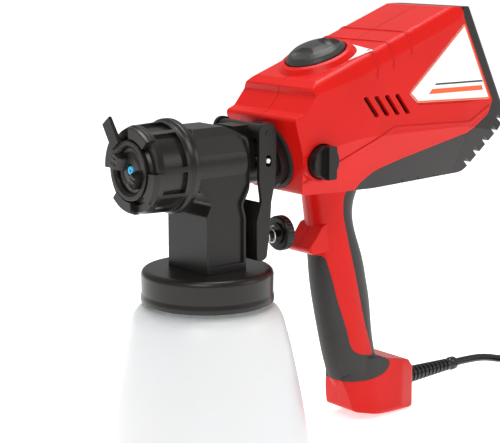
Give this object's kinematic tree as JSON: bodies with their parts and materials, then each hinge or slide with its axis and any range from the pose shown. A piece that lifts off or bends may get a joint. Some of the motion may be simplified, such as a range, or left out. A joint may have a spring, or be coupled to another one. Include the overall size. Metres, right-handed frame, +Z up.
{
  "type": "hvlp spray gun",
  "caption": "Handheld electric paint spray gun with a screw-on paint cup, an adjustable air nozzle, a trigger and a motor body whose handle stands on its foot.",
  "frame": {"origin": "centre of the paint cup's flat base, on the floor the gun stands on", "axes": "+Z up along the cup's axis, -X the spray direction, y = 0 the plane of symmetry with the lock knob on the -Y side"},
  "size_m": [0.436, 0.1774, 0.2995],
  "materials": {
    "red_plastic": "satin moulded ABS",
    "dark_plastic": "satin moulded nylon",
    "soft_grip": "soft-touch overmould",
    "textured_grip": "fine-grained overmould",
    "cup_plastic": "translucent white",
    "seal_rubber": "smooth",
    "clear_tube": "translucent",
    "cyan_plastic": "gloss",
    "grey_plastic": "satin",
    "steel": "bright",
    "white_plastic": "gloss",
    "foam": "open foam",
    "label_white": "printed film",
    "core_steel": "laminated, with copper windings",
    "fan_plastic": "satin",
    "brass_part": "bright",
    "cord_black": "glossy PVC"
  },
  "bodies": {
    "motor_body": {"housing_left": "red_plastic", "housing_right": "red_plastic", "rear_cover": "dark_plastic", "air_filter": "foam", "front_grip_left": "textured_grip", "front_grip_right": "textured_grip", "rear_grip_left": "soft_grip", "rear_grip_right": "soft_grip", "name_plate_left": "label_white", "name_plate_right": "label_white", "top_plate": "label_white", "neck_gasket": "seal_rubber", "coupling_ring": "dark_plastic", "outlet_duct": "dark_plastic", "motor_stator": "core_steel", "front_bearing": "steel", "rear_bearing": "steel", "front_bracket": "dark_plastic", "rear_bracket": "dark_plastic", "brush_holders": "brass_part", "motor_mount": "seal_rubber", "fan_shroud": "dark_plastic", "speed_control": "dark_plastic", "suppressor": "grey_plastic", "cord_clamp": "dark_plastic", "clamp_screws": "steel", "housing_screws": "steel", "cord_boot": "cord_black", "power_cord": "cord_black", "cord_coil": "cord_black", "plug_body": "cord_black", "plug_pins": "steel"},
    "rotor": {"armature": "core_steel", "fan": "fan_plastic"},
    "dial": {"top_dial": "dark_plastic"},
    "lock": {"side_knob": "dark_plastic", "lock_cam": "grey_plastic"},
    "head": {"spray_head": "dark_plastic", "cup_lid": "dark_plastic", "suction_tube": "clear_tube", "check_valve": "seal_rubber", "fluid_nozzle": "cyan_plastic", "needle_packing": "seal_rubber", "trigger_pin": "steel", "flow_stud": "steel", "flow_spring": "steel"},
    "trigger_yoke": {"trigger": "dark_plastic"},
    "needle": {"paint_needle": "steel", "needle_yoke": "grey_plastic", "needle_pin": "white_plastic"},
    "washer": {"spring_washer": "steel"},
    "knob": {"flow_knob": "dark_plastic"},
    "gasket": {"cup_gasket": "seal_rubber"},
    "cup": {"paint_cup": "cup_plastic"},
    "seal": {"air_seal": "seal_rubber"},
    "nut": {"union_nut": "dark_plastic"},
    "cap": {"air_cap": "grey_plastic", "pattern_lever": "dark_plastic"}
  },
  "joints": [
    {"name": "head_release", "type": "slide", "parent": "motor_body", "child": "head", "axis": [-0.9613, 0, -0.2756], "range_m": [0, 0.03]},
    {"name": "trigger_pull", "type": "hinge", "parent": "head", "child": "trigger_yoke", "pos_m": [0.0315, 0, 0.222], "axis": [0, -1, 0], "range_deg": [0, 9], "stiffness_Nm_per_rad": 1.5, "deforming": ["flow_spring"]},
    {"name": "needle_draw", "type": "slide", "parent": "head", "child": "needle", "axis": [1, 0, 0], "range_m": [0, 0.003]},
    {"name": "washer_travel", "type": "slide", "parent": "head", "child": "washer", "axis": [-1, 0, 0], "range_m": [0, 0.00401], "deforming": ["flow_spring"]},
    {"name": "flow_knob_turn", "type": "hinge", "parent": "washer", "child": "knob", "pos_m": [0.064, 0, 0.147], "axis": [-1, 0, 0], "range_deg": [0, 1800]},
    {"name": "cup_travel", "type": "slide", "parent": "head", "child": "gasket", "axis": [0, 0, -1], "range_m": [0, 0.00901]},
    {"name": "cup_turn", "type": "hinge", "parent": "gasket", "child": "cup", "pos_m": [0, 0, 0.05], "axis": [0, 0, -1], "range_deg": [0, 540]},
    {"name": "nut_travel", "type": "slide", "parent": "head", "child": "seal", "axis": [-1, 0, 0], "range_m": [0, 0.00451]},
    {"name": "nut_turn", "type": "hinge", "parent": "seal", "child": "nut", "pos_m": [-0.045, 0, 0.2035], "axis": [-1, 0, 0], "range_deg": [0, 540]},
    {"name": "air_cap_turn", "type": "hinge", "parent": "seal", "child": "cap", "pos_m": [-0.058, 0, 0.2035], "axis": [-1, 0, 0], "range_deg": [-60, 30]},
    {"name": "speed_dial_turn", "type": "hinge", "parent": "motor_body", "child": "dial", "pos_m": [0.0957, 0, 0.2686], "axis": [-0.3616, 0, 0.9323], "range_deg": [-60, 90]},
    {"name": "lock_knob_turn", "type": "hinge", "parent": "motor_body", "child": "lock", "pos_m": [0.0685, -0.04, 0.201], "axis": [0, -1, 0], "range_deg": [0, 90]},
    {"name": "rotor_spin", "type": "hinge", "parent": "motor_body", "child": "rotor", "pos_m": [0.0515, 0, 0.2025], "axis": [0.9613, 0, 0.2756], "continuous": true}
  ],
  "couplings": [
    {"joint": "needle_draw", "follows": "trigger_pull", "m_per_rad": 0.0185},
    {"joint": "washer_travel", "follows": "flow_knob_turn", "m_per_rad": 0.00012732},
    {"joint": "cup_travel", "follows": "cup_turn", "m_per_rad": 0.00095493},
    {"joint": "nut_travel", "follows": "nut_turn", "m_per_rad": 0.00047746}
  ]
}
